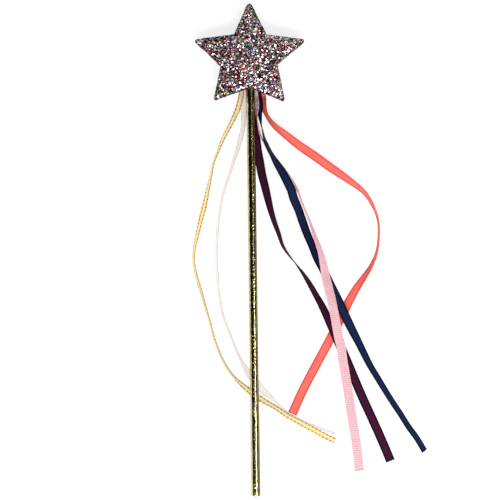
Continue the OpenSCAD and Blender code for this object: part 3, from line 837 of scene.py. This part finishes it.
outside, inside = band_side(outer_edge, OUTER_SWELL), band_side(inner_edge, INNER_SWELL)[::-1]
inside = inside.reshape(BAND_ROWS, EDGE_COUNT, 3)[:, ::-1].reshape(-1, 3)
wall = ring_faces(2 * BAND_ROWS, EDGE_COUNT, closed=True)
band_cloth = make_piece("band_cloth", np.concatenate([outside, inside]), wall)
band_carrier = make_piece("band_cloth_carrier", outside, ring_faces(BAND_ROWS, EDGE_COUNT))
print("band points:", len(band_cloth.data.vertices))

# %% [markdown]
# ## Glitter
# Chunky glitter is thousands of small six-sided flakes of coated film, glued on at all angles. They differ in colour:
# mostly silver and grey, with black and wine red between, and now and then a bright green, blue or red one. Geometry
# Nodes scatter points over the cloth, set a thin six-sided prism on each with its own tilt and size, and give each
# flake a random number from which the finish picks its colour. A tilt is the sum of two draws, so most flakes lie
# nearly flat and a few stand up. On the back they lie flatter, because the star rests on them. The seed is fixed, so
# every run gives the same star.

# %% Glitter tree
FLAKE_SIDES = 6
MOST_FLAKES = 8.0e6
SIZE_SPREAD = (0.65, 1.25)
SECOND_SEED, SIZE_SEED, SHADE_SEED = 77, 5, 9


def random_value(tree, seed, low, high, kind="FLOAT"):
    """A number or a vector drawn for each flake between two limits."""
    first = 2 if kind == "FLOAT" else 0
    inputs = {first: low, first + 1: high, "Seed": seed}
    return add_node(tree, "FunctionNodeRandomValue", inputs, data_type=kind).outputs[first // 2]


def glitter_tree():
    """Scatters tilted six-sided flakes over a cloth."""
    tree = bpy.data.node_groups.new("glitter_flakes", "GeometryNodeTree")
    for name, kind in (
        ("Cloth", "Geometry"), ("Spacing", "Float"), ("Flake Radius", "Float"), ("Flake Thickness", "Float"),
        ("Tilt", "Float"), ("Lift", "Float"), ("Seed", "Int"), ("Finish", "Material"),
    ):
        tree.interface.new_socket(name, in_out="INPUT", socket_type="NodeSocket" + kind)
    tree.interface.new_socket("Flakes", in_out="OUTPUT", socket_type="NodeSocketGeometry")
    given = add_node(tree, "NodeGroupInput").outputs
    scatter = add_node(tree, "GeometryNodeDistributePointsOnFaces", {
        "Mesh": given["Cloth"], "Distance Min": given["Spacing"], "Density Max": MOST_FLAKES, "Seed": given["Seed"],
    }, distribute_method="POISSON").outputs
    raised = follow("ShaderNodeVectorMath", {0: scatter["Normal"], "Scale": given["Lift"]}, operation="SCALE")
    points = follow("GeometryNodeSetPosition", {"Geometry": scatter["Points"], "Offset": raised})
    flake = follow("GeometryNodeMeshCylinder", {
        "Vertices": FLAKE_SIDES, "Radius": given["Flake Radius"], "Depth": given["Flake Thickness"],
    }, "Mesh", fill_type="NGON")
    least, most = (
        follow("ShaderNodeCombineXYZ", {"X": tilt, "Y": tilt, "Z": turn})
        for tilt, turn in ((maths("MULTIPLY", given["Tilt"], -1.0), -math.pi), (given["Tilt"], math.pi))
    )
    draws = [random_value(tree, seed, least, most, "FLOAT_VECTOR") for seed in (given["Seed"], SECOND_SEED)]
    tilt = follow("ShaderNodeVectorMath", {0: draws[0], 1: draws[1]}, operation="ADD")
    turn = follow("FunctionNodeEulerToRotation", {0: tilt})
    aim = follow(
        "FunctionNodeRotateRotation", {"Rotation": scatter["Rotation"], "Rotate By": turn}, rotation_space="LOCAL"
    )
    set_on = follow("GeometryNodeInstanceOnPoints", {
        "Points": points, "Instance": flake, "Rotation": aim, "Scale": random_value(tree, SIZE_SEED, *SIZE_SPREAD),
    })
    marked = follow("GeometryNodeStoreNamedAttribute", {
        "Geometry": set_on, "Name": "shade", "Value": random_value(tree, SHADE_SEED, 0.0, 1.0),
    }, data_type="FLOAT", domain="INSTANCE")
    real = follow("GeometryNodeRealizeInstances", {0: marked})
    dressed = follow("GeometryNodeSetMaterial", {"Geometry": real, "Material": given["Finish"]})
    add_node(tree, "NodeGroupOutput", {"Flakes": dressed})
    return tree


scatter_flakes = glitter_tree()
print("glitter nodes:", len(scatter_flakes.nodes))

# %% [markdown]
# ## Flake and cloth finishes
# Each flake is a mirror in its own colour. The random number stored on it picks that colour from a ramp with hard
# steps. The cloth below is a dark, rough weave soaked with glue, which shows as the dark between the flakes. On the
# band round the side, the flakes and the cloth get darker colours, as painted shade for the side wall.

# %% Flake finish
FACE_COLOURS = [
    # from this share of the flakes on, this colour
    (0.00, colour(246, 234, 234)), (0.315, colour(196, 168, 172)), (0.395, colour(132, 94, 100)),
    (0.465, colour(74, 42, 48)), (0.54, colour(14, 7, 10)), (0.655, colour(118, 20, 42)),
    (0.80, colour(216, 132, 148)), (0.855, colour(255, 252, 248)), (0.93, colour(56, 96, 214)),
    (0.945, colour(60, 180, 96)), (0.96, colour(236, 96, 60)), (0.972, colour(70, 196, 216)),
    (0.985, colour(236, 214, 110)),
]
# painted shade: darker copies of the flake colours for the band, standing for the shade on the star's side wall
SHADED_BAND_COLOURS = [
    (0.00, colour(170, 160, 162)), (0.14, colour(112, 94, 98)), (0.30, colour(58, 38, 42)),
    (0.50, colour(14, 7, 10)), (0.74, colour(84, 14, 30)), (0.93, colour(176, 108, 122)),
    (0.97, colour(236, 232, 230)),
]


def flake_finish(name, colours, rough):
    """Small mirrors in many colours."""
    material, tree, shader = start_finish(name)
    ramp = add_node(tree, "ShaderNodeValToRGB", {"Fac": stored(tree, "shade")})
    ramp.color_ramp.interpolation = "CONSTANT"
    stops = ramp.color_ramp.elements
    stops[0].position, stops[0].color = colours[0]
    stops[1].position, stops[1].color = colours[-1]
    for place, tint in colours[1:-1]:
        stops.new(place).color = tint
    scuff = clouds(own_place(tree), 2500.0, 2.0)
    fill(shader, {
        "Base Color": ramp.outputs["Color"], "Metallic": 0.96,
        "Roughness": fade(scuff, *NARROW_SPAN, rough, rough + 0.2), "Normal": bumped(scuff, 0.15, 0.00005),
    })
    return material


def backing_finish(name, tint):
    """Dark woven backing, stiff with glue."""
    material, tree, shader = start_finish(name)
    place = own_place(tree)
    weave, soak = cells(place, 1400.0), clouds(place, 180.0, 3.0)
    fill(shader, {
        "Base Color": mix_colour(fade(soak, *NARROW_SPAN), dimmed(tint, 0.45), tint),
        "Roughness": fade(soak, *WIDE_SPAN, 0.45, 0.8), "Normal": bumped(weave, 0.6, 0.0002),
    })
    return material


backing = {
    "glitter_front": backing_finish("front_backing", colour(52, 32, 38)),
    "glitter_back": backing_finish("back_backing", colour(52, 32, 38)),
    # painted shade: the band's backing is darker than the front's and back's, for the shade on the side wall
    "glitter_band": backing_finish("shaded_band_backing", colour(44, 26, 32)),
}
print("backing finishes:", len(backing))

# %% Scatter the glitter
GLITTER = (
    # carrier, cloth, piece name, finish slot, CAD node
    # flake colours, spacing between flakes, tilt, lift, seed
    (front_carrier, front_cloth, "front_glitter", "glitter_front", "star_front_panel",
     FACE_COLOURS, 0.00062, 15, 0.00010, 4),
    (back_carrier, back_cloth, "back_glitter", "glitter_back", "star_back_panel",
     FACE_COLOURS, 0.00066, 8, 0.00004, 8),
    (band_carrier, band_cloth, "band_glitter", "glitter_band", "star_edge_band",
     SHADED_BAND_COLOURS, 0.00066, 15, 0.00010, 15),
)
FLAKE_SIZES = {"Flake Radius": 0.00056, "Flake Thickness": 0.00010}
FLAKE_ROUGHNESS = 0.18
for carrier, cloth, name, finish, node, colours, spacing, tilt, lift, seed in GLITTER:
    scatter = carrier.modifiers.new("flakes", "NODES")
    scatter.node_group = scatter_flakes
    given = {**FLAKE_SIZES, "Spacing": spacing, "Tilt": math.radians(tilt), "Lift": lift, "Seed": seed}
    given["Finish"] = flake_finish(finish, colours, FLAKE_ROUGHNESS)
    for socket in scatter_flakes.interface.items_tree:
        if socket.in_out == "INPUT" and socket.name in given:
            scatter[socket.identifier] = given[socket.name]
    evaluated = carrier.evaluated_get(bpy.context.evaluated_depsgraph_get())
    mesh = bpy.data.meshes.new_from_object(evaluated)
    mesh.name = name
    flakes = bpy.data.objects.new(name, mesh)
    scene.collection.objects.link(flakes)
    bpy.data.objects.remove(carrier)
    cloth.data.materials.append(backing[finish])
    for piece in (cloth, flakes):
        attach(piece, "root")
    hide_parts(node)
    print(name, "flakes:", len(mesh.vertices) // (2 * FLAKE_SIDES))

# %% [markdown]

# %% [markdown]
# ## Inside the star
# The wooden stick, the foam halves and the pad of hot-melt glue are hidden, but each keeps its own finish, for anyone
# who takes the wand apart: straight wood grain, fine foam cells and cloudy glue.

# %% Hidden finishes
def wood_finish():
    """Pale wood with its grain along the stick."""
    material, tree, shader = start_finish("stick_wood")
    grain = clouds(own_place(tree), (900.0, 25.0, 900.0), 4.0)
    fill(shader, {
        "Base Color": mix_colour(fade(grain, *WIDE_SPAN), colour(190, 150, 100), colour(226, 196, 150)),
        "Roughness": fade(grain, *WIDE_SPAN, 0.75, 0.55), "Normal": bumped(grain, 0.3, 0.0001),
    })
    return material


def cell_finish(name, low, high, size, rough):
    """Foam or glue: pale, cloudy and full of small cells."""
    material, tree, shader = start_finish(name)
    place = own_place(tree)
    pores, cloud = cells(place, size), clouds(place, size / 8, 2.0)
    fill(shader, {
        "Base Color": mix_colour(cloud, low, high),
        "Roughness": fade(pores, 0.1, 0.6, rough, rough + 0.15), "Normal": bumped(pores, 0.5, 0.0003),
    })
    return material


foam = cell_finish("foam", colour(226, 222, 212), colour(242, 240, 234), 1200.0, 0.8)
glue = cell_finish("hot_melt", colour(224, 214, 180), colour(240, 234, 212), 500.0, 0.3)
for node, finish in (
    ("wooden_stick", wood_finish()), ("star_foam_front", foam), ("star_foam_back", foam), ("star_glue_pad", glue),
):
    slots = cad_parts[node].data.materials
    slots.clear()
    slots.append(finish)
    print(node, "finish:", finish.name)

# %% [markdown]
# ## Table and light
# The wand lies on white. The table is a wide pale dish whose rim turns up, so that every low view still ends in white.
# It takes the wand's soft shadow, and close to the wand it is lit by the lamps. Further out it is simply white.
# Seen from above, foil mirrors only what lies to its left and right. So a narrow bright panel to the right of the hand
# end draws the highlight along the lower stick, and dim panels give the rest a soft glint. Tilted flakes mirror a box
# over the foot of the wand and a weaker one past its star, which makes the glitter sparkle. Four low boxes at the
# corners light the ribbons that stand on edge. No surface mirrors those, because in low views they would whiten the
# star and the foil.

# %% White table
TABLE_RINGS = (
    # radius and height of each ring
    (0.25, 0.0), (0.6, 0.0), (1.2, 0.0), (2.5, 0.0), (4.5, 0.0), (5.3, 0.03), (5.7, 0.15), (5.92, 0.4), (6.0, 0.9),
)
TABLE_DROP = -0.0004
TABLE_AROUND = 96
LAMPLIT, PLAIN_WHITE = 0.45, 1.3
TABLE_GREY, BLACK, WHITE = (0.34, 0.34, 0.34, 1.0), (0.0, 0.0, 0.0, 1.0), (1.0, 1.0, 1.0, 1.0)
turns = np.linspace(0.0, 2 * np.pi, TABLE_AROUND, endpoint=False)
points = [(0.0, 0.0, TABLE_DROP)] + [
    (r * math.cos(t), r * math.sin(t), z + TABLE_DROP) for r, z in TABLE_RINGS for t in turns
]
faces = fan_faces(TABLE_AROUND) + (np.array(ring_faces(len(TABLE_RINGS), TABLE_AROUND))[:, ::-1] + 1).tolist()
table_mesh = bpy.data.meshes.new("white_table")
table_mesh.from_pydata(points, [], faces)
table_mesh.shade_smooth()
table = bpy.data.objects.new("white_table", table_mesh)
scene.collection.objects.link(table)

table_material, tree, _ = start_finish("white_table")
tree.nodes.clear()
distance = follow("ShaderNodeVectorMath", {0: own_place(tree)}, "Value", operation="LENGTH")
far = fade(distance, LAMPLIT, PLAIN_WHITE)
path = add_node(tree, "ShaderNodeLightPath").outputs
mirrored = maths("MAXIMUM", path["Is Glossy Ray"], path["Is Transmission Ray"])
seen = maths("MAXIMUM", path["Is Camera Ray"], mirrored)
lit = follow("ShaderNodeBsdfDiffuse", {"Color": mix_colour(far, TABLE_GREY, BLACK)})
brightness = maths("MULTIPLY", seen, maths("MULTIPLY_ADD", far, 0.25, 0.75))
glow = follow("ShaderNodeEmission", {"Color": WHITE, "Strength": brightness})
both = follow("ShaderNodeAddShader", {0: lit, 1: glow})
add_node(tree, "ShaderNodeOutputMaterial", {"Surface": both})
table_mesh.materials.append(table_material)
print("table faces:", len(table_mesh.polygons))

# %% Lamps
MIDDLE = (0.0, 0.0, 0.0)
LAMPS = (
    # name, place, point it faces, width, length, brightness, whether shiny surfaces mirror it
    ("right_panel_low", (0.50, -0.56, 0.95), (0.50, -0.56, 0.0), 0.17, 0.90, 8.2, True),
    ("right_panel_high", (0.50, 0.30, 0.95), (0.50, 0.30, 0.0), 0.55, 0.60, 0.2, True),
    ("left_panel_low", (-0.50, -0.72, 0.95), (-0.50, -0.72, 0.0), 0.90, 0.60, 0.8, True),
    ("foot_box", (0.0, -0.60, 0.95), (0.0, 0.1, 0.0), 0.8, 0.36, 6.6, True),
    ("star_end_box", (0.0, 0.95, 0.9), MIDDLE, 1.3, 0.6, 1.0, True),
    ("left_foot_corner", (-1.0, -0.75, 0.36), MIDDLE, 0.7, 0.45, 6.2, False),
    ("left_star_corner", (-1.0, 0.75, 0.36), MIDDLE, 0.7, 0.45, 3.0, False),
    ("right_foot_corner", (1.0, -0.75, 0.36), MIDDLE, 0.7, 0.45, 6.2, False),
    ("right_star_corner", (1.0, 0.75, 0.36), MIDDLE, 0.7, 0.45, 3.0, False),
)
POWER = 4.0
ROOM_LIGHT = 0.005
for name, place, aim, width, length, brightness, mirrored in LAMPS:
    lamp_data = bpy.data.lights.new(name, "AREA")
    lamp_data.shape = "RECTANGLE"
    lamp_data.size, lamp_data.size_y = width, length
    lamp_data.energy = brightness * POWER * width * length
    lamp = bpy.data.objects.new(name, lamp_data)
    lamp.location = place
    lamp.rotation_euler = (Vector(aim) - Vector(place)).to_track_quat("-Z", "Y").to_euler()
    lamp.visible_camera, lamp.visible_glossy = False, mirrored
    scene.collection.objects.link(lamp)
world = bpy.data.worlds.new("dim_room")
world.use_nodes = True
fill(world.node_tree.nodes["Background"], {"Color": WHITE, "Strength": ROOM_LIGHT})
scene.world = world
print("lamps:", len(LAMPS))
